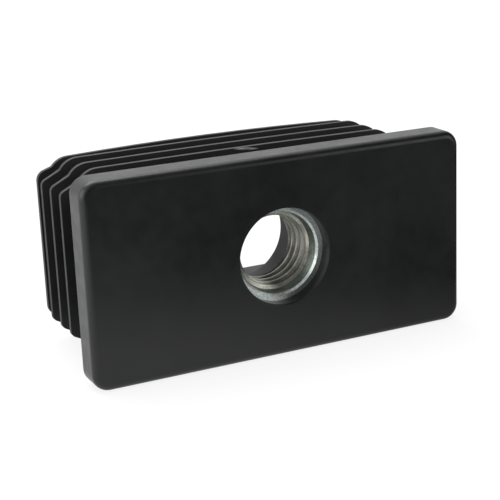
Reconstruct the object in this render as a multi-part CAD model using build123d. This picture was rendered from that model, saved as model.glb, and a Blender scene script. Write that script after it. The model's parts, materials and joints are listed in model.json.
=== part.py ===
from build123d import *
from dataclasses import dataclass
import math
import os

# A threaded insert that is driven into the end of a rectangular tube. A moulded plastic body
# carries a steel bush with an internal thread. Its face looks along -Y, its fins grip inside
# the tube along +Y, and it lies on its long side. Sizes are in millimetres, and every depth is
# counted back from the face. The origin is where the thread's axis meets the tube's end, in
# the plane of the head's back.

# Head, which covers the tube's end and has the tube's outer size
HEAD_WIDTH = 80.0
HEAD_HEIGHT = 40.0
HEAD_DEPTH = 6.4
HEAD_CORNER_RADIUS = 3.2
HEAD_FACE_ROUNDING = 1.4
HEAD_BACK_CHAMFER = 0.25

# Stem, the hollow box behind the head that carries the fins
INSERT_DEPTH = 35.6
STEM_INSET = 5.0
STEM_WALL = 2.4
STEM_CORNER_RADIUS = 3.5
FACE_THICKNESS = 4.2

# Fins, the thin ribs that bend against the tube's wall
FIN_COUNT = 3
FIRST_FIN_DEPTH = 18.2
FIN_THICKNESS = 1.0
ROOT_CHAMFER = 0.4
NOTCH_ROUNDING = 0.8
SHOULDER_RADIUS = 4.5

# Bush, turned from hexagon bar and moulded into the boss
THREAD_DIAMETER = 16.0
THREAD_PITCH = 2.0
BUSH_FLATS = 24.0
BUSH_LENGTH = 11.0
BUSH_RECESS = 2.9
BUSH_CORNER_CHAMFER_ANGLE = 30.0
BUSH_FACE_DIAMETER = 23.0
MOUTH_DIAMETER = 16.5
MOUTH_CHAMFER = 0.4
MOUTH_END_DIAMETER = 15.8
MOUTH_DEPTH = 2.5
MOUTH_DRILL_ANGLE = 118.0
BACK_CHAMFER_DIAMETER = 16.4

# Boss round the bush, the hole through it, and the webs that hold it to the walls
HOLE_DIAMETER = 19.2
HOLE_ROUNDING = 0.25
BOSS_WALL = 3.1
BOSS_END_COVER = 7.4
WEB_THICKNESS = 1.8
WEB_STEP = 1.5
SIDE_WEB_OFFSET = 23.5

THREAD_DEPTH = 5 / 8 * THREAD_PITCH * math.cos(math.radians(30))
THREAD_MINOR_DIAMETER = THREAD_DIAMETER - 2 * THREAD_DEPTH
BUSH_CORNER_RADIUS = BUSH_FLATS / 2 / math.cos(math.radians(30))
BOSS_RADIUS = BUSH_CORNER_RADIUS + BOSS_WALL
BOSS_DEPTH = BUSH_RECESS + BUSH_LENGTH + BOSS_END_COVER
END_FIN_DEPTH = INSERT_DEPTH - FIN_THICKNESS / 2
FIN_PITCH = (END_FIN_DEPTH - FIRST_FIN_DEPTH) / FIN_COUNT
STEM_WIDTH = HEAD_WIDTH - 2 * STEM_INSET
STEM_HEIGHT = HEAD_HEIGHT - 2 * STEM_INSET
STEM_INNER_WIDTH = STEM_WIDTH - 2 * STEM_WALL
STEM_INNER_HEIGHT = STEM_HEIGHT - 2 * STEM_WALL
STEM_INNER_RADIUS = STEM_CORNER_RADIUS - STEM_WALL


@dataclass(frozen=True)
class FinShape:
    """One fin's outline. Each corner has a side lobe, a shallow notch and a shoulder.

    The insets are taken from the head's edge, and the other sizes from the fin's own corner.
    """

    side_inset: float
    top_inset: float
    lobe_drop: float
    lobe_radius: float
    notch_in: float
    notch_drop: float
    crown: float


FULL_FIN = FinShape(
    side_inset=1.9,
    top_inset=1.6,
    lobe_drop=4.25,
    lobe_radius=1.3,
    notch_in=3.85,
    notch_drop=2.3,
    crown=0.2,
)
END_FIN = FinShape(
    side_inset=2.8,
    top_inset=2.0,
    lobe_drop=3.4,
    lobe_radius=2.2,
    notch_in=3.2,
    notch_drop=2.3,
    crown=0.6,
)


def slab(outline, start, depth):
    """Solid of a flat outline, from one depth behind the face and as thick as given."""
    return extrude(Plane.XZ.offset(-start) * outline, -depth)


def fin_outline(shape):
    """Outline of a fin, seen from the front."""
    half_width = HEAD_WIDTH / 2 - shape.side_inset
    half_height = HEAD_HEIGHT / 2 - shape.top_inset
    lobe = (half_width, half_height - shape.lobe_drop)
    notch = (half_width - shape.notch_in, half_height - shape.notch_drop)
    rise = shape.notch_drop - shape.crown
    run = math.sqrt(rise * (2 * SHOULDER_RADIUS - rise))
    shoulder = (notch[0] - run, half_height - shape.crown)
    corner = [Line(lobe, notch), RadiusArc(notch, shoulder, -SHOULDER_RADIUS)]
    top = ThreePointArc(shoulder, (0, half_height), (-shoulder[0], shoulder[1]))
    side = Line(lobe, (lobe[0], -lobe[1]))
    upper = corner + [mirror(line, Plane.YZ) for line in corner] + [top]
    lower = [mirror(line, Plane.XZ) for line in upper]
    outline = make_face(Curve() + upper + lower + [side, mirror(side, Plane.YZ)])
    outline = fillet(images_of(lobe, outline), shape.lobe_radius)
    return fillet(images_of(notch, outline), NOTCH_ROUNDING)


def images_of(point, outline):
    """Vertices of an outline at a point and at its three mirror images."""
    near = 1e-4
    return [
        vertex
        for vertex in outline.vertices()
        if abs(abs(vertex.X) - point[0]) < near and abs(abs(vertex.Y) - point[1]) < near
    ]


def fin(shape, depth):
    """One fin, centred at a depth, as a plate through the stem."""
    return slab(fin_outline(shape), depth - FIN_THICKNESS / 2, FIN_THICKNESS)


def head():
    """Cover plate with a rounded rim round its face."""
    plate = slab(RectangleRounded(HEAD_WIDTH, HEAD_HEIGHT, HEAD_CORNER_RADIUS), 0, HEAD_DEPTH)
    rim = plate.faces().sort_by(Axis.Y)[0].edges()
    plate = fillet(rim, HEAD_FACE_ROUNDING)
    back = plate.faces().sort_by(Axis.Y)[-1].edges()
    return chamfer(back, HEAD_BACK_CHAMFER)


def stem_outline():
    """Outside of the hollow stem."""
    return RectangleRounded(STEM_WIDTH, STEM_HEIGHT, STEM_CORNER_RADIUS)


def finned_stem():
    """Solid stem with its fins. The last fin is smaller and ends flush with the stem."""
    stem = slab(stem_outline(), FACE_THICKNESS, INSERT_DEPTH - FACE_THICKNESS)
    for place in range(FIN_COUNT):
        stem += fin(FULL_FIN, FIRST_FIN_DEPTH + place * FIN_PITCH)
    return stem + fin(END_FIN, END_FIN_DEPTH)


def root_edges(body):
    """Edges where the fins and the head's back meet the outside of the stem."""
    near = 1e-3
    roots = []
    for edge in body.edges():
        box = edge.bounding_box()
        on_stem = box.max.X < STEM_WIDTH / 2 + near and box.max.Z < STEM_HEIGHT / 2 + near
        on_stem = on_stem and box.min.X > -STEM_WIDTH / 2 - near and box.min.Z > -STEM_HEIGHT / 2 - near
        inside = HEAD_DEPTH - near < box.min.Y and box.max.Y < INSERT_DEPTH - near
        if on_stem and inside and box.size.Y < near:
            roots.append(edge)
    return roots


def hollow():
    """Space inside the stem, open at its end, round the boss and the webs."""
    depth = INSERT_DEPTH - FACE_THICKNESS
    inner = RectangleRounded(STEM_INNER_WIDTH, STEM_INNER_HEIGHT, STEM_INNER_RADIUS)
    space = slab(inner, FACE_THICKNESS, depth)
    boss = slab(Circle(BOSS_RADIUS), FACE_THICKNESS, BOSS_DEPTH - FACE_THICKNESS)
    return space - boss - webs()


def webs():
    """One long web across the stem and a short one each side of the boss."""
    depth = BOSS_DEPTH - WEB_STEP - FACE_THICKNESS
    across = Rectangle(STEM_INNER_WIDTH, WEB_THICKNESS)
    upright = Rectangle(WEB_THICKNESS, STEM_INNER_HEIGHT)
    sides = [Pos(side * SIDE_WEB_OFFSET, 0) * upright for side in (-1, 1)]
    return slab(Sketch() + across + sides, FACE_THICKNESS, depth)


def bush_blank():
    """Hexagon bar of the bush, two flats level, with its corners turned off at both ends."""
    bar = slab(RegularPolygon(BUSH_CORNER_RADIUS, 6), BUSH_RECESS, BUSH_LENGTH)
    face_radius = BUSH_FACE_DIAMETER / 2
    fall = (BUSH_CORNER_RADIUS - face_radius) * math.tan(math.radians(BUSH_CORNER_CHAMFER_ANGLE))
    back = BUSH_RECESS + BUSH_LENGTH
    turned = Polyline(
        (0, BUSH_RECESS),
        (face_radius, BUSH_RECESS),
        (BUSH_CORNER_RADIUS, BUSH_RECESS + fall),
        (BUSH_CORNER_RADIUS, back - fall),
        (face_radius, back),
        (0, back),
        close=True,
    )
    return bar & revolve(make_face(turned), Axis.Y)


def threaded_bush():
    """Steel bush with a drilled mouth. Its bore is at the crests of the thread."""
    bore_radius = THREAD_MINOR_DIAMETER / 2
    mouth_radius = MOUTH_DIAMETER / 2
    mouth_end_radius = MOUTH_END_DIAMETER / 2
    mouth_end = BUSH_RECESS + MOUTH_DEPTH
    drill_point = (mouth_end_radius - bore_radius) / math.tan(math.radians(MOUTH_DRILL_ANGLE / 2))
    back_radius = BACK_CHAMFER_DIAMETER / 2
    back = BUSH_RECESS + BUSH_LENGTH
    profile = Polyline(
        (0, BUSH_RECESS),
        (mouth_radius + MOUTH_CHAMFER, BUSH_RECESS),
        (mouth_radius, BUSH_RECESS + MOUTH_CHAMFER),
        (mouth_end_radius, mouth_end),
        (bore_radius, mouth_end + drill_point),
        (bore_radius, back - (back_radius - bore_radius)),
        (back_radius, back),
        (0, back),
        close=True,
    )
    return bush_blank() - revolve(make_face(profile), Axis.Y)


def insert_body():
    """Moulded body, in one piece, with the bush's seat inside its boss."""
    body = head() + finned_stem()
    body = chamfer(root_edges(body), ROOT_CHAMFER) - hollow()
    body -= slab(Circle(HOLE_DIAMETER / 2), 0, BOSS_DEPTH)
    mouth = body.edges().filter_by(GeomType.CIRCLE).group_by(Axis.Y)[0]
    body = fillet(mouth, HOLE_ROUNDING)
    return body - bush_blank()


def seated(piece):
    """Piece moved so that the head's back lies in the plane of the tube's end."""
    return Pos(0, -HEAD_DEPTH, 0) * piece


os.makedirs("parts", exist_ok=True)
export_step(seated(insert_body()), "parts/insert_body.step")
export_step(seated(threaded_bush()), "parts/threaded_bush.step")
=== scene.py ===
"""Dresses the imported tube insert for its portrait: moulded body, threaded bush and studio."""

import enum
import json
import logging
import math
from dataclasses import dataclass

import bmesh
import bpy
from mathutils import Matrix, Vector

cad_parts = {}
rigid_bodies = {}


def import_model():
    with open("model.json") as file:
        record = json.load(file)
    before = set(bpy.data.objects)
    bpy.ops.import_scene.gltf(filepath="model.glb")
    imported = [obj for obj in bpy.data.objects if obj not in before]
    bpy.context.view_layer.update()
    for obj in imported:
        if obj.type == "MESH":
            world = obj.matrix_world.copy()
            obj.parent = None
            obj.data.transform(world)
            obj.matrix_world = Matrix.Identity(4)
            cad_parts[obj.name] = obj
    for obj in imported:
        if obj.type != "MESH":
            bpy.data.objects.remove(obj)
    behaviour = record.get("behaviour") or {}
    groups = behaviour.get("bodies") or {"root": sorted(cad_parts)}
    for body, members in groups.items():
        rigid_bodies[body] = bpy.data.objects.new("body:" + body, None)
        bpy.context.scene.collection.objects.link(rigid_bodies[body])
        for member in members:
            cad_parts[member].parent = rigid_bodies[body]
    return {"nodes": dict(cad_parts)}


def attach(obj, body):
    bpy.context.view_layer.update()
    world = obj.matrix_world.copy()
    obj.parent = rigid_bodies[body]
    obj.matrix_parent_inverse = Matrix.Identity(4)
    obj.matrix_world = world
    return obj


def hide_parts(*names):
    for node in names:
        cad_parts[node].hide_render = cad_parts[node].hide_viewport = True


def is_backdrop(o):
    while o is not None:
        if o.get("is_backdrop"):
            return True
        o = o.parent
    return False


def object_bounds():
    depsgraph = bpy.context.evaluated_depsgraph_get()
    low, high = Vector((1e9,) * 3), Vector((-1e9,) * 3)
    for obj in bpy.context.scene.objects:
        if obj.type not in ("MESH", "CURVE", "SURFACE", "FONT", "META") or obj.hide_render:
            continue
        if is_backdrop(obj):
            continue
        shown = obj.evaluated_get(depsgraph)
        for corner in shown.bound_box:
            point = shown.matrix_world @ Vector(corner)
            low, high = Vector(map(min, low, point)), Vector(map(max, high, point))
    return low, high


LOG = logging.getLogger("tube_insert")
MM = 0.001
FULL_TURN = 2 * math.pi

Node = bpy.types.Node
Socket = bpy.types.NodeSocket
Value = Socket | float
Triple = tuple[float, float, float]
Span = tuple[float, float]


class Slot(enum.Enum):
    """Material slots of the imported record."""

    PLASTIC = "body_plastic"
    STEEL = "bush_steel"


class Cut(enum.Enum):
    """Ways in which one solid works on another."""

    KEEP_SHARED = "INTERSECT"
    TAKE_AWAY = "DIFFERENCE"


@dataclass(frozen=True)
class Grain:
    """A noise pattern, by its number of lumps in a metre and its number of finer layers."""

    lumps: float
    layers: float


@dataclass(frozen=True)
class Relief:
    """A bump, by the share of it that shows and its height in metres."""

    share: float
    height: float


class Graph:
    """Node graph of one material or world, with short calls for its nodes."""

    def __init__(self, owner: bpy.types.ID) -> None:
        """Starts an empty graph.

        Args:
            owner: The material or world that the graph belongs to.
        """
        owner.use_nodes = True
        self.tree = owner.node_tree
        self.tree.nodes.clear()

    def add(self, kind: str, **values: object) -> Node:
        """Adds a node.

        Args:
            kind: Type of the node, without its ShaderNode prefix.
            **values: Settings of the node, by their Python names.

        Returns:
            The new node.
        """
        node = self.tree.nodes.new("ShaderNode" + kind)
        for name, value in values.items():
            setattr(node, name, value)
        return node

    def feed(self, node: Node, **sources: object) -> Node:
        """Sets or links inputs of a node.

        Args:
            node: The node that is fed.
            **sources: Sockets or plain values, by input name with _ for a space, or by _N for input N.

        Returns:
            The same node.
        """
        for name, source in sources.items():
            key = int(name[1:]) if name[0] == "_" else name.replace("_", " ")
            if isinstance(source, Socket):
                self.tree.links.new(source, node.inputs[key])
            else:
                node.inputs[key].default_value = source
        return node

    def math(self, operation: str, *terms: Value, clamp: bool = False) -> Socket:
        """Works on sockets or numbers, and keeps the result from 0 to 1 if clamp is set."""
        node = self.add("Math", operation=operation, use_clamp=clamp)
        return self.feed(node, **{f"_{i}": term for i, term in enumerate(terms)}).outputs[0]

    def noise(self, place: Socket, grain: Grain) -> Socket:
        """Gives a noise pattern of the given grain, from 0 to 1."""
        node = self.add("TexNoise")
        return self.feed(node, Vector=place, Scale=grain.lumps, Detail=grain.layers).outputs["Fac"]

    def ramp(self, value: Socket, low: float, high: float, start: float = 0.0, end: float = 1.0) -> Socket:
        """Fades from start, where the value is low, to end, where it is high."""
        node = self.add("MapRange")
        return self.feed(node, _0=value, _1=low, _2=high, _3=start, _4=end).outputs[0]

    def tint(self, share: Socket, first: Socket | Triple, second: Socket | Triple) -> Socket:
        """Adds a mix of two colours.

        Args:
            share: Socket of the second colour's share.
            first: Linear colour, or a socket.
            second: Linear colour, or a socket.

        Returns:
            The mixed colour's socket.
        """
        node = self.add("Mix", data_type="RGBA")
        colours = [colour if isinstance(colour, Socket) else (*colour, 1.0) for colour in (first, second)]
        return self.feed(node, _0=share, _6=colours[0], _7=colours[1]).outputs[2]

    def bump(self, height: Socket, relief: Relief, normal: Socket | None = None) -> Socket:
        """Adds a bump.

        Args:
            height: Socket of the pattern that is raised.
            relief: Its share and height.
            normal: Socket of the normal under it, if it isn't the surface's own.

        Returns:
            The bumped normal's socket.
        """
        node = self.feed(self.add("Bump"), Height=height, Strength=relief.share, Distance=relief.height)
        if normal:
            self.feed(node, Normal=normal)
        return node.outputs[0]

    def split(self, vector: Socket) -> list[Socket]:
        """Gives the X, Y and Z of a vector."""
        return list(self.feed(self.add("SeparateXYZ"), Vector=vector).outputs)

    def join(self, across: Value, deep: Value, up: Value) -> Socket:
        """Makes a vector of its X, Y and Z."""
        return self.feed(self.add("CombineXYZ"), X=across, Y=deep, Z=up).outputs[0]

    def length(self, vector: Socket) -> Socket:
        """Gives the length of a vector."""
        node = self.add("VectorMath", operation="LENGTH")
        return self.feed(node, _0=vector).outputs["Value"]

    def dot(self, first: Socket, second: Socket | Triple) -> Socket:
        """Gives how far one vector reaches along another."""
        node = self.add("VectorMath", operation="DOT_PRODUCT")
        return self.feed(node, _0=first, _1=second).outputs["Value"]


@dataclass(frozen=True)
class MouldedPlastic:
    """Black plastic with a fine matte skin, dull fins painted paler as fill light, and a painted dent
    highlight.
    """

    deep: Triple = (0.0028, 0.0036, 0.0033)
    pale: Triple = (0.0056, 0.0066, 0.0062)
    mottle_grain: Grain = Grain(70.0, 4.0)
    mottle_fade: Span = (0.35, 0.65)
    flow_grain: Grain = Grain(420.0, 3.0)
    flow_relief: Relief = Relief(0.25, 0.04 * MM)
    skin_grain: Grain = Grain(3200.0, 3.0)
    skin_relief: Relief = Relief(0.35, 0.03 * MM)
    ior: float = 1.44
    roughness: Span = (0.32, 0.40)
    mottle_roughness: Span = (-0.02, 0.03)
    roughness_fade: Span = (0.3, 0.7)
    edge_radius: float = 0.12 * MM
    edge_samples: int = 6
    edge_fade: Span = (0.985, 0.86)
    rubbed: Triple = (0.030, 0.031, 0.030)
    rubbed_share: float = 0.3
    rubbed_fade: Span = (0.42, 0.62)
    fin_depths: Span = (0.0, 2.0 * MM)
    fin_roughness: float = 0.20
    # painted fill light: the fins' paler colour, stronger higher up, lifts the shade between them
    fin_fill_light: Triple = (0.0135, 0.0140, 0.0135)
    fin_fill_light_heights: Span = (9.0 * MM, 16.0 * MM)
    # painted highlight: a pale streaked patch where a dent, not in the geometry, on the first fin's top
    # edge catches the light
    dent_highlight: Triple = (0.50, 0.50, 0.48)
    dent_highlight_place: Triple = (0.8 * MM, 11.3 * MM, 18.0 * MM)
    dent_highlight_reach: Triple = (2.9 * MM, 1.4 * MM, 0.30 * MM)
    dent_highlight_tilt_deg: float = 6.0
    dent_highlight_edge: Span = (1.0, 0.45)
    dent_highlight_squeeze: Triple = (350.0, 1500.0, 2600.0)
    dent_highlight_grain: Grain = Grain(1.0, 4.0)
    dent_highlight_fade: Span = (0.32, 0.54)

    def material(self) -> bpy.types.Material:
        """Makes the material.

        Returns:
            The material.
        """
        made = bpy.data.materials.new("moulded_black_plastic")
        graph = Graph(made)
        place = graph.add("TexCoord").outputs["Object"]
        parts = graph.split(place)
        fins = graph.ramp(parts[1], *self.fin_depths)
        # painted fill light: fins paler behind the head and towards their tops, to lift the shade in their
        # gaps
        fill_lit_fins = graph.math("MULTIPLY", fins, graph.ramp(parts[2], *self.fin_fill_light_heights))
        mottle = graph.noise(place, self.mottle_grain)
        flow = graph.noise(place, self.flow_grain)
        bevel = graph.add("Bevel", samples=self.edge_samples)
        eased = graph.feed(bevel, Radius=self.edge_radius).outputs[0]
        worn = self.worn(graph, eased, flow)

        colour = graph.tint(graph.ramp(mottle, *self.mottle_fade), self.deep, self.pale)
        # painted fill light on the fins
        colour = graph.tint(fill_lit_fins, colour, self.fin_fill_light)
        colour = graph.tint(worn, colour, self.rubbed)
        # painted highlight of the dent in the first fin's top edge
        colour = graph.tint(self.dent_highlight_mask(graph, place), colour, self.dent_highlight)
        rough = graph.ramp(flow, *self.roughness_fade, *self.roughness)
        rough = graph.math("ADD", rough, graph.ramp(mottle, *self.roughness_fade, *self.mottle_roughness))
        rough = graph.math("ADD", rough, graph.math("MULTIPLY", fins, self.fin_roughness))
        normal = graph.bump(graph.noise(place, self.skin_grain), self.skin_relief, eased)
        normal = graph.bump(flow, self.flow_relief, normal)
        shader = graph.add("BsdfPrincipled")
        graph.feed(shader, Base_Color=colour, Roughness=rough, Normal=normal, IOR=self.ior)
        graph.feed(graph.add("OutputMaterial"), Surface=shader.outputs[0])
        return made

    def worn(self, graph: Graph, eased: Socket, flow: Socket) -> Socket:
        """Finds the rubbed edges, where the eased normal leaves the surface's own.

        Args:
            graph: Graph of the material.
            eased: Socket of the eased normal.
            flow: Socket of the noise that makes the wear uneven.

        Returns:
            Socket of the rubbed colour's share.
        """
        own = graph.add("NewGeometry").outputs["Normal"]
        edge = graph.ramp(graph.dot(eased, own), *self.edge_fade)
        uneven = graph.math("MULTIPLY", edge, graph.ramp(flow, *self.rubbed_fade))
        return graph.math("MULTIPLY", uneven, self.rubbed_share)

    def dent_highlight_mask(self, graph: Graph, place: Socket) -> Socket:
        """Makes the painted highlight of a dent on the first fin, near its top edge, where the dented edge
        catches the light.

        Args:
            graph: Graph of the material.
            place: Socket of the place on the object.

        Returns:
            Socket of the mask, 1 in the painted highlight.
        """
        local = graph.add("Mapping", vector_type="TEXTURE")
        tilt = (0.0, math.radians(self.dent_highlight_tilt_deg), 0.0)
        graph.feed(local, Vector=place, Location=self.dent_highlight_place, Rotation=tilt, Scale=self.dent_highlight_reach)
        inside = graph.ramp(graph.length(local.outputs[0]), *self.dent_highlight_edge)
        squeezed = graph.add("VectorMath", operation="MULTIPLY")
        squeezed = graph.feed(squeezed, _0=place, _1=self.dent_highlight_squeeze).outputs[0]
        streak = graph.ramp(graph.noise(squeezed, self.dent_highlight_grain), *self.dent_highlight_fade)
        return graph.math("MULTIPLY", inside, streak, clamp=True)


@dataclass(frozen=True)
class TurnedSteel:
    """Zinc-plated steel with lathe rings: flecked face, greenish mouth and a warmer thread, darker between
    its crests.
    """

    clean: Triple = (0.54, 0.62, 0.56)
    dull: Triple = (0.22, 0.26, 0.23)
    warm_clean: Triple = (0.66, 0.66, 0.585)
    warm_dull: Triple = (0.27, 0.27, 0.235)
    bored_depths: Span = (-1.15 * MM, -0.95 * MM)
    cloud_grain: Grain = Grain(380.0, 4.0)
    cloud_fade: Span = (0.3, 0.7)
    roughness: Span = (0.38, 0.32)
    grit_grain: Grain = Grain(2600.0, 3.0)
    grit_relief: Relief = Relief(0.5, 0.012 * MM)
    grit_share: float = 0.6
    ring_grain: Grain = Grain(4200.0, 2.0)
    ring_relief: Relief = Relief(0.55, 0.012 * MM)
    ring_share: float = 0.8
    ring_drift: float = 0.06
    tone_fade: Span = (0.95, 1.45)
    fleck: Triple = (0.95, 1.0, 0.98)
    between_flecks: Triple = (0.58, 0.64, 0.62)
    fleck_fade: Span = (0.35, 0.65)
    fleck_share: float = 0.85
    face_depths: Span = (-3.04 * MM, -3.10 * MM)
    gleam_stretch: float = 0.9
    gleam_turn: float = 0.25
    # darker colour for the thread between its crests
    root_dark: Triple = (0.105, 0.098, 0.085)
    crest_radius: float = 6.92 * MM
    root_dark_reach: Span = (0.03 * MM, 0.75 * MM)
    root_dark_share: Span = (0.15, 1.0)
    uneven_fade: Span = (0.2, 0.6)
    uneven_share: Span = (0.55, 1.0)
    thread_start: float = -0.6 * MM

    def material(self) -> bpy.types.Material:
        """Makes the material.

        Returns:
            The material.
        """
        made = bpy.data.materials.new("turned_zinc_steel")
        graph = Graph(made)
        place = graph.add("TexCoord").outputs["Object"]
        rings = self.rings(graph, place)
        cloud = graph.noise(place, self.cloud_grain)
        grit = graph.noise(place, self.grit_grain)

        marks = graph.math("ADD", cloud, graph.math("MULTIPLY", rings, self.ring_share))
        marks = graph.math("ADD", marks, graph.math("MULTIPLY", grit, self.grit_share))
        colour = self.plating(graph, place, graph.ramp(marks, *self.tone_fade), grit)
        # the thread's colour is darker between its crests
        colour = graph.tint(self.root_darkening(graph, place, cloud), colour, self.root_dark)
        rough = graph.ramp(cloud, *self.cloud_fade, *self.roughness)
        normal = graph.bump(rings, self.ring_relief)
        normal = graph.bump(grit, self.grit_relief, normal)
        shader = graph.add("BsdfPrincipled")
        graph.feed(shader, Base_Color=colour, Metallic=1.0, Roughness=rough, Normal=normal)
        around = graph.add("Tangent", direction_type="RADIAL", axis="Y").outputs[0]
        graph.feed(shader, Tangent=around, Anisotropic=self.gleam_stretch)
        graph.feed(shader, Anisotropic_Rotation=self.gleam_turn)
        graph.feed(graph.add("OutputMaterial"), Surface=shader.outputs[0])
        return made

    def plating(self, graph: Graph, place: Socket, tone: Socket, grit: Socket) -> Socket:
        """Colours the plating: flecked on the face, greenish in the mouth and warmer in the thread.

        Args:
            graph: Graph of the material.
            place: Socket of the place on the object.
            tone: Socket of the share of clean metal.
            grit: Socket of the fine noise that the flecks follow.

        Returns:
            Socket of the colour.
        """
        depth = graph.split(place)[1]
        bored = graph.ramp(depth, *self.bored_depths)
        dull = graph.tint(bored, self.dull, self.warm_dull)
        clean = graph.tint(bored, self.clean, self.warm_clean)
        colour = graph.tint(tone, dull, clean)
        flecks = graph.tint(graph.ramp(grit, *self.fleck_fade), self.between_flecks, self.fleck)
        share = graph.math("MULTIPLY", graph.ramp(depth, *self.face_depths), self.fleck_share)
        return graph.tint(share, colour, flecks)

    def radius(self, graph: Graph, place: Socket) -> Socket:
        """Measures the distance from the thread's axis, in metres."""
        parts = graph.split(place)
        return graph.length(graph.join(parts[0], 0.0, parts[2]))

    def rings(self, graph: Graph, place: Socket) -> Socket:
        """Makes rings round the thread's axis, which fade in and out on their way round.

        Args:
            graph: Graph of the material.
            place: Socket of the place on the object.

        Returns:
            Socket of the rings' relief.
        """
        across, depth, height = graph.split(place)
        slip = graph.math("MULTIPLY", across, self.ring_drift)
        wide = graph.math("ADD", self.radius(graph, place), slip)
        rise = graph.math("MULTIPLY", height, self.ring_drift)
        return graph.noise(graph.join(wide, depth, rise), self.ring_grain)

    def root_darkening(self, graph: Graph, place: Socket, cloud: Socket) -> Socket:
        """Finds where the thread's colour is darker, between its crests.

        Args:
            graph: Graph of the material.
            place: Socket of the place on the object.
            cloud: Socket of a soft noise that makes it uneven.

        Returns:
            Socket of the mask, 1 where it is darkest.
        """
        above = graph.math("SUBTRACT", self.radius(graph, place), self.crest_radius)
        sunk = graph.ramp(above, *self.root_dark_reach, *self.root_dark_share)
        inside = graph.math("GREATER_THAN", graph.split(place)[1], self.thread_start)
        uneven = graph.ramp(cloud, *self.uneven_fade, *self.uneven_share)
        return graph.math("MULTIPLY", graph.math("MULTIPLY", sunk, inside), uneven)


class Solid:
    """A closed mesh that is shaped in place, in the row's frame."""

    weld: float = 0.0005 * MM

    def __init__(self, name: str) -> None:
        """Starts an empty solid, with the name that its object will have."""
        self.name = name
        self.mesh = bmesh.new()

    def outline(self, profile: list[Span]) -> list:
        """Draws a profile by its radius and depth in metres, and gives its corners and edges."""
        corners = [self.mesh.verts.new((radius, depth, 0.0)) for radius, depth in profile]
        return corners + [self.mesh.edges.new(pair) for pair in zip(corners, corners[1:])]

    def turned(self, profile: list[Span], steps: int) -> "Solid":
        """Turns a profile about the thread's axis, as a lathe does.

        Args:
            profile: Radius and depth of each corner, first and last on the axis.
            steps: Number of facets round.

        Returns:
            This solid.
        """
        bmesh.ops.spin(
            self.mesh,
            geom=self.outline(profile),
            cent=(0, 0, 0),
            axis=(0, 1, 0),
            angle=FULL_TURN,
            steps=steps,
            use_merge=True,
        )
        return self.closed()

    def closed(self) -> "Solid":
        """Merges what meets and turns every face outwards.

        Returns:
            This solid.
        """
        bmesh.ops.remove_doubles(self.mesh, verts=self.mesh.verts, dist=self.weld)
        bmesh.ops.recalc_face_normals(self.mesh, faces=self.mesh.faces)
        return self

    def placed(self) -> bpy.types.Object:
        """Puts the solid in the scene.

        Returns:
            Its object.
        """
        mesh = bpy.data.meshes.new(self.name)
        self.mesh.to_mesh(mesh)
        self.mesh.free()
        made = bpy.data.objects.new(self.name, mesh)
        bpy.context.scene.collection.objects.link(made)
        return made


def cut(work: bpy.types.Object, tool: bpy.types.Object, way: Cut) -> None:
    """Cuts one solid with another, and removes the tool.

    Args:
        work: Object that is cut.
        tool: Object that it is cut with.
        way: What is kept.
    """
    step = work.modifiers.new("cut", "BOOLEAN")
    step.operation = way.value
    step.solver = "EXACT"
    step.object = tool
    bpy.context.view_layer.update()
    seen = work.evaluated_get(bpy.context.evaluated_depsgraph_get())
    result = bpy.data.meshes.new_from_object(seen)
    work.modifiers.clear()
    work.data = result
    bpy.data.objects.remove(tool)


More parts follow.
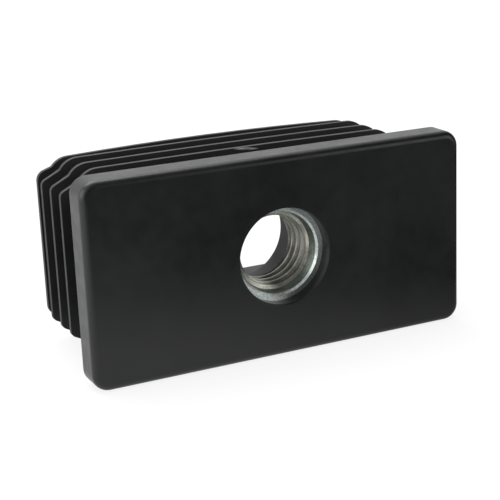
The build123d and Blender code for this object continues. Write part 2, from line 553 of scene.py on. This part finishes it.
@dataclass
class ThreadedBush:
    """Steel bush of hexagon bar with a drilled mouth, tapped from its back. Sizes in mm."""

    name: str = "tapped_bush"
    node: str = "threaded_bush"
    slot: Slot = Slot.STEEL
    front: float = -3.5
    length: float = 11.0
    sides: int = 6
    flats: float = 24.0
    face_diameter: float = 23.0
    corner_chamfer_deg: float = 30.0
    thread_diameter: float = 16.0
    pitch: float = 2.0
    flank_deg: float = 30.0
    depth_share: float = 5 / 8
    land_share: float = 1 / 8
    first_crest: float = 0.52
    mouth_diameter: float = 16.5
    mouth_end_diameter: float = 15.8
    mouth_depth: float = 2.5
    mouth_chamfer: float = 0.4
    mouth_drill_deg: float = 118.0
    back_chamfer_diameter: float = 16.4
    run_in_start: float = 0.6
    run_in_length: float = 1.6
    tap_core_share: float = 0.4
    tap_spare_turns: int = 4
    tap_overrun: float = 0.7
    tap_weld: float = 0.002
    spare: float = 1.0
    sharp_deg: float = 28.0
    facets: int = 144

    @property
    def back(self) -> float:
        """Depth of the back face."""
        return self.front + self.length

    @property
    def mouth_end(self) -> float:
        """Depth at which the drilled mouth ends."""
        return self.front + self.mouth_depth

    @property
    def corner_radius(self) -> float:
        """Distance of the bar's corners from its axis."""
        return self.flats / 2 / math.cos(math.radians(180 / self.sides))

    @property
    def thread_depth(self) -> float:
        """Height of the thread, from its crests to its roots."""
        return self.depth_share * self.pitch * math.cos(math.radians(self.flank_deg))

    @property
    def crest_radius(self) -> float:
        """Radius of the thread's crests, which is the drilled hole's."""
        return self.thread_diameter / 2 - self.thread_depth

    @property
    def tap_core(self) -> float:
        """Radius of the tap between its teeth, a little inside the drilled hole."""
        return self.crest_radius - self.tap_core_share * self.thread_depth

    def build(self) -> bpy.types.Object:
        """Builds the bush: hexagon bar, turned ends, bore and thread.

        Returns:
            The finished object.
        """
        work = self.hexagon_bar()
        cut(work, self.turned_ends(), Cut.KEEP_SHARED)
        cut(work, self.bore(), Cut.TAKE_AWAY)
        cut(work, self.tap(), Cut.TAKE_AWAY)
        self.smooth(work)
        return work

    def hexagon_bar(self) -> bpy.types.Object:
        """Makes the bar, with two of its flats level.

        Returns:
            The bar's object.
        """
        bar = Solid(self.name)
        upright = Matrix.Rotation(math.pi / 2, 4, "X")
        start = Matrix.Translation((0, self.front * MM, 0)) @ upright
        made = bmesh.ops.create_circle(
            bar.mesh,
            segments=self.sides,
            radius=self.corner_radius * MM,
            cap_ends=True,
            matrix=start,
        )
        bmesh.ops.rotate(
            bar.mesh,
            verts=made["verts"],
            cent=(0, 0, 0),
            matrix=Matrix.Rotation(math.pi / self.sides, 3, "Y"),
        )
        grown = bmesh.ops.extrude_face_region(bar.mesh, geom=bar.mesh.faces[:])["geom"]
        moved = [part for part in grown if isinstance(part, bmesh.types.BMVert)]
        bmesh.ops.translate(bar.mesh, verts=moved, vec=(0, self.length * MM, 0))
        return bar.closed().placed()

    def turned_ends(self) -> bpy.types.Object:
        """Makes the blank whose cones take the bar's corners off.

        Returns:
            The blank's object.
        """
        face = self.face_diameter / 2
        reach = self.corner_radius + self.spare
        fall = (reach - face) * math.tan(math.radians(self.corner_chamfer_deg))
        profile = [
            (0, self.front),
            (face, self.front),
            (reach, self.front + fall),
            (reach, self.back - fall),
            (face, self.back),
            (0, self.back),
        ]
        return self.lathe("turned_ends", profile)

    def bore(self) -> bpy.types.Object:
        """Makes the drill that leaves the mouth, the hole and the chamfers.

        Returns:
            The drill's object.
        """
        wide = self.mouth_diameter / 2
        narrow = self.mouth_end_diameter / 2
        hole = self.crest_radius
        drill_point = (narrow - hole) / math.tan(math.radians(self.mouth_drill_deg / 2))
        chamfered = self.back_chamfer_diameter / 2
        profile = [
            (0, self.front - self.spare),
            (wide + self.mouth_chamfer + self.spare, self.front - self.spare),
            (wide, self.front + self.mouth_chamfer),
            (narrow, self.mouth_end),
            (hole, self.mouth_end + drill_point),
            (hole, self.back - (chamfered - hole)),
            (chamfered + self.spare, self.back + self.spare),
            (0, self.back + self.spare),
        ]
        return self.lathe("bore", profile)

    def lathe(self, name: str, profile: list[Span]) -> bpy.types.Object:
        """Turns a profile that is given by its radius and depth in millimetres."""
        scaled = [(radius * MM, depth * MM) for radius, depth in profile]
        return Solid(name).turned(scaled, self.facets).placed()

    def tap(self) -> bpy.types.Object:
        """Makes the tap, a right-handed screw a little longer than the bush.

        Returns:
            The tap's object.
        """
        screw = Solid("tap")
        turns = math.ceil(self.length / self.pitch) + self.tap_spare_turns
        bmesh.ops.spin(
            screw.mesh,
            geom=screw.outline(self.tooth()),
            cent=(0, 0, 0),
            axis=(0, 1, 0),
            dvec=(0, self.pitch / self.facets * MM, 0),
            angle=FULL_TURN * turns,
            steps=self.facets * turns,
        )
        bmesh.ops.remove_doubles(screw.mesh, verts=screw.mesh.verts, dist=self.tap_weld * MM)
        self.run_in(screw.mesh)
        overrun = self.tap_overrun * self.pitch
        self.trim(screw.mesh, self.front - overrun, -1)
        self.trim(screw.mesh, self.back + overrun, 1)
        return screw.closed().placed()

    def tooth(self) -> list[Span]:
        """Draws one turn of the tap: half a gap, its tooth and the other half, in metres.

        Returns:
            Radius and depth of each corner.
        """
        root = self.thread_diameter / 2
        core = self.tap_core
        flank = (root - core) * math.tan(math.radians(self.flank_deg))
        land = self.land_share * self.pitch
        gap = self.pitch - land - 2 * flank
        start = self.front - 2 * self.pitch + self.first_crest - self.front % self.pitch
        profile = [
            (core, start + gap / 2),
            (root, start + gap / 2 + flank),
            (root, start + gap / 2 + flank + land),
            (core, start + gap / 2 + 2 * flank + land),
            (core, start + self.pitch + gap / 2),
        ]
        return [(radius * MM, depth * MM) for radius, depth in profile]

    def run_in(self, mesh: bmesh.types.BMesh) -> None:
        """Draws the tap's cutting edge in at the mouth, so that the thread starts from nothing.

        Args:
            mesh: Mesh of the tap.
        """
        start = (self.mouth_end - self.run_in_start) * MM
        core = self.tap_core * MM
        for corner in mesh.verts:
            radius = math.hypot(corner.co.x, corner.co.z)
            share = min(max((corner.co.y - start) / (self.run_in_length * MM), 0.0), 1.0)
            scale = (core + (radius - core) * share) / radius
            corner.co.x *= scale
            corner.co.z *= scale

    def trim(self, mesh: bmesh.types.BMesh, depth: float, way: int) -> None:
        """Cuts the tap off square and closes its end.

        Args:
            mesh: Mesh of the tap.
            depth: Depth of the cut.
            way: Side that is cut off, 1 for the back and -1 for the front.
        """
        sliced = bmesh.ops.bisect_plane(
            mesh,
            geom=mesh.verts[:] + mesh.edges[:] + mesh.faces[:],
            plane_co=(0, depth * MM, 0),
            plane_no=(0, way, 0),
            clear_outer=True,
        )
        rim = [part for part in sliced["geom_cut"] if isinstance(part, bmesh.types.BMEdge)]
        bmesh.ops.edgenet_fill(mesh, edges=rim)

    def smooth(self, work: bpy.types.Object) -> None:
        """Shades the turned faces smooth and keeps the cut edges sharp."""
        work.data.shade_smooth()
        work.data.set_sharp_from_angle(angle=math.radians(self.sharp_deg))

    def dress(self, work: bpy.types.Object, finish: bpy.types.Material) -> None:
        """Gives the bush its finish, its body and its place in the part.

        Args:
            work: The finished bush.
            finish: Material of the steel.
        """
        work.data.materials.clear()
        work.data.materials.append(finish)
        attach(work, "root")
        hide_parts(self.node)


@dataclass
class MouldedBody:
    """The moulded body, which keeps its own solid and gets its finish here."""

    node: str = "insert_body"
    slot: Slot = Slot.PLASTIC

    def dress(self, nodes: dict, finish: bpy.types.Material) -> None:
        """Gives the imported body, found by its node's name, its finish."""
        for place in nodes[self.node].material_slots:
            place.material = finish


@dataclass(frozen=True)
class Softbox:
    """A square soft lamp. Sizes in metres and power in watts."""

    name: str
    place: Triple
    size: float
    power: float

    def hang(self, target: Vector) -> None:
        """Hangs the lamp.

        Args:
            target: Point that it faces.
        """
        data = bpy.data.lights.new(self.name, "AREA")
        data.shape = "SQUARE"
        data.size = self.size
        data.energy = self.power
        made = bpy.data.objects.new(self.name, data)
        made.location = self.place
        made.rotation_euler = (target - Vector(self.place)).to_track_quat("-Z", "Y").to_euler()
        bpy.context.scene.collection.objects.link(made)


@dataclass
class Studio:
    """White sweep, soft light and the camera of the photograph. Sizes in metres."""

    camera_place: Triple = (-0.117022, -0.242941, 0.078873)
    azimuth_deg: float = -28.196
    elevation_deg: float = 16.642
    roll_deg: float = -1.548
    lens_mm: float = 102.836
    sensor_mm: float = 36.0
    shift: Span = (-0.16084, 0.01084)
    clip: Span = (0.01, 50.0)
    floor_size: float = 6.0
    floor_gap: float = 0.02 * MM
    floor_white: float = 0.9
    shadow_share: float = 0.18
    world_strength: float = 0.75
    front_strength: float = 0.04
    front_way: Triple = (0.6, -0.8, 0.0)
    front_fade: float = 0.4
    floor_fade: float = 0.050
    high_way: Triple = (-0.45, 0.0, 0.9)
    high_fade: Span = (0.55, 0.95)
    softboxes: tuple[Softbox, ...] = (
        Softbox("top_softbox", (-0.05, 0.26, 0.58), 0.55, 4.0),
        Softbox("left_softbox", (-0.60, 0.0, 0.10), 0.70, 4.0),
        Softbox("right_softbox", (0.42, -0.44, 0.12), 0.40, 1.0),
    )

    def build(self, low: Vector, high: Vector) -> None:
        """Builds the camera, the floor, the lamps and the world.

        Args:
            low: Lowest corner of the part.
            high: Highest corner of the part.
        """
        self.camera()
        self.floor(low.z)
        for softbox in self.softboxes:
            softbox.hang((low + high) / 2)
            LOG.info("%s hung", softbox.name)
        self.world()

    def camera(self) -> None:
        """Places the camera where the photograph was taken from."""
        data = bpy.data.cameras.new("camera")
        data.lens = self.lens_mm
        data.sensor_width = self.sensor_mm
        data.shift_x, data.shift_y = self.shift
        data.clip_start, data.clip_end = self.clip
        made = bpy.data.objects.new("camera", data)
        bpy.context.scene.collection.objects.link(made)
        turn = Matrix.Rotation(math.radians(self.azimuth_deg), 4, "Z")
        turn = turn @ Matrix.Rotation(math.radians(90 - self.elevation_deg), 4, "X")
        turn = turn @ Matrix.Rotation(math.radians(self.roll_deg), 4, "Z")
        made.matrix_world = Matrix.Translation(self.camera_place) @ turn
        bpy.context.scene.camera = made

    def floor(self, level: float) -> None:
        """Lays the white floor, which keeps the part's shadow.

        Args:
            level: Height of the part's underside.
        """
        sheet = Solid("floor")
        place = Matrix.Translation((0, 0, level - self.floor_gap))
        half = self.floor_size / 2
        bmesh.ops.create_grid(sheet.mesh, x_segments=1, y_segments=1, size=half, matrix=place)
        made = sheet.placed()
        made.data.materials.append(self.white())
        made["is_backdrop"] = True

    def white(self) -> bpy.types.Material:
        """Makes the floor's white, plain to the eye, with a soft shadow, and painted dim in reflections in
        front of the part, as shade for the dim room there.

        Returns:
            The material.
        """
        made = bpy.data.materials.new("white_floor")
        made.cycles.emission_sampling = "NONE"
        graph = Graph(made)
        ahead = graph.dot(graph.add("TexCoord").outputs["Object"], self.front_way)
        # painted shade: reflections see the floor dim in front of the part, standing for the dim room
        # there
        lit = graph.ramp(ahead, 0.0, self.floor_fade, 1.0, self.front_strength)
        seen, others = self.seen(graph, lit)
        white = graph.math("MULTIPLY", graph.math("MAXIMUM", seen, others), self.floor_white)
        matt = graph.feed(graph.add("BsdfDiffuse"), Color=white)
        glow = graph.feed(graph.add("Emission"), Strength=1.0)
        share = graph.math("MULTIPLY", seen, 1 - self.shadow_share)
        mixed = graph.feed(graph.add("MixShader"), _0=share, _1=matt.outputs[0], _2=glow.outputs[0])
        graph.feed(graph.add("OutputMaterial"), Surface=mixed.outputs[0])
        return made

    def seen(self, graph: Graph, lit: Socket) -> tuple[Socket, Socket]:
        """Tells the rays that see the background from those that only light by it.

        Args:
            graph: Graph of the floor or the world.
            lit: Socket of how white it is, 1 behind the part and less in the dim room in front.

        Returns:
            Socket that is 1 for camera and transmission rays and lit for glossy rays, and socket
            that is 1 for all the others.
        """
        rays = graph.add("LightPath").outputs
        plain = graph.math("MAXIMUM", rays["Is Camera Ray"], rays["Is Transmission Ray"])
        gloss = graph.math("MULTIPLY", rays["Is Glossy Ray"], lit)
        others = graph.math("SUBTRACT", 1.0, graph.math("MAXIMUM", plain, rays["Is Glossy Ray"]))
        return graph.math("MAXIMUM", plain, gloss), others

    def world(self) -> None:
        """Makes the surroundings: white behind and above the part, and dim in front of it."""
        made = bpy.data.worlds.new("white_room")
        made.cycles.sampling_method = "NONE"
        bpy.context.scene.world = made
        graph = Graph(made)
        towards = graph.add("TexCoord").outputs["Generated"]
        ahead = graph.dot(towards, self.front_way)
        behind = graph.ramp(ahead, 0.0, self.front_fade, 1.0, self.front_strength)
        above = graph.ramp(graph.dot(towards, self.high_way), *self.high_fade, self.front_strength, 1.0)
        seen, others = self.seen(graph, graph.math("MAXIMUM", behind, above))
        level = graph.math("ADD", seen, graph.math("MULTIPLY", others, self.world_strength))
        back = graph.feed(graph.add("Background"), Strength=level, Color=(1.0, 1.0, 1.0, 1.0))
        graph.feed(graph.add("OutputWorld"), Surface=back.outputs[0])


def clear() -> None:
    """Empties the start-up scene."""
    for thing in list(bpy.data.objects):
        bpy.data.objects.remove(thing)


def corners() -> list[list[float]]:
    """Gives the shown object's box as plain lists."""
    return [list(corner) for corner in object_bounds()]


def main() -> None:
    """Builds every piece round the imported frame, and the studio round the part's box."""
    clear()
    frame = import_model()
    bpy.context.view_layer.update()
    low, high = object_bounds()

    plastic = MouldedPlastic().material()
    body = MouldedBody()
    body.dress(frame["nodes"], plastic)
    LOG.info("%s dressed in %s, slot %s", body.node, plastic.name, body.slot.value)

    steel = TurnedSteel().material()
    bush = ThreadedBush()
    work = bush.build()
    bush.dress(work, steel)
    LOG.info("%s dressed in %s, slot %s", bush.name, steel.name, bush.slot.value)

    bpy.context.scene.view_settings.view_transform = "Standard"
    studio = Studio()
    studio.build(low, high)
    LOG.info("studio ready")

    bpy.context.view_layer.update()


if __name__ == "__main__":
    logging.basicConfig(level=logging.INFO)
    main()
